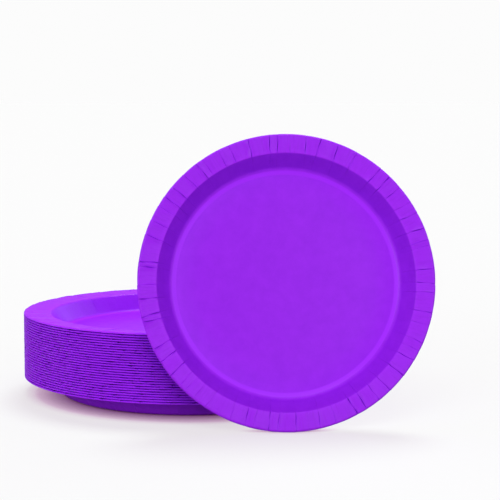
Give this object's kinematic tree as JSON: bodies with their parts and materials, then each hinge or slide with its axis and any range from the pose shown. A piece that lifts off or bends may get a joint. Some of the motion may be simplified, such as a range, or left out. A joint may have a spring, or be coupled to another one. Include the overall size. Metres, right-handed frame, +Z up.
{
  "type": "stack of paper plates",
  "caption": "Stack of round nine-inch pressed paper plates with creased rims, nested flat, with a seven-inch one leaning on its edge against the front of the stack.",
  "frame": {"origin": "axis of the stack, on the surface that it stands on", "axes": "+Z up along the stack's axis, -Y towards the side that the smaller plate leans on, +X to the right seen from there"},
  "size_m": [0.2621, 0.2496, 0.1744],
  "materials": {
    "purple_paper": "coated paper, purple all through, with a soft sheen"
  },
  "bodies": {
    "root": {"plate_01": "purple_paper", "plate_02": "purple_paper", "plate_03": "purple_paper", "plate_04": "purple_paper", "plate_05": "purple_paper", "plate_06": "purple_paper", "plate_07": "purple_paper", "plate_08": "purple_paper", "plate_09": "purple_paper", "plate_10": "purple_paper", "plate_11": "purple_paper", "plate_12": "purple_paper", "plate_13": "purple_paper", "plate_14": "purple_paper", "plate_15": "purple_paper", "plate_16": "purple_paper", "plate_17": "purple_paper", "plate_18": "purple_paper", "plate_19": "purple_paper", "plate_20": "purple_paper", "plate_21": "purple_paper", "plate_22": "purple_paper", "plate_23": "purple_paper", "plate_24": "purple_paper", "plate_25": "purple_paper", "plate_26": "purple_paper", "plate_27": "purple_paper", "plate_28": "purple_paper", "leaning_plate": "purple_paper"}
  },
  "joints": []
}
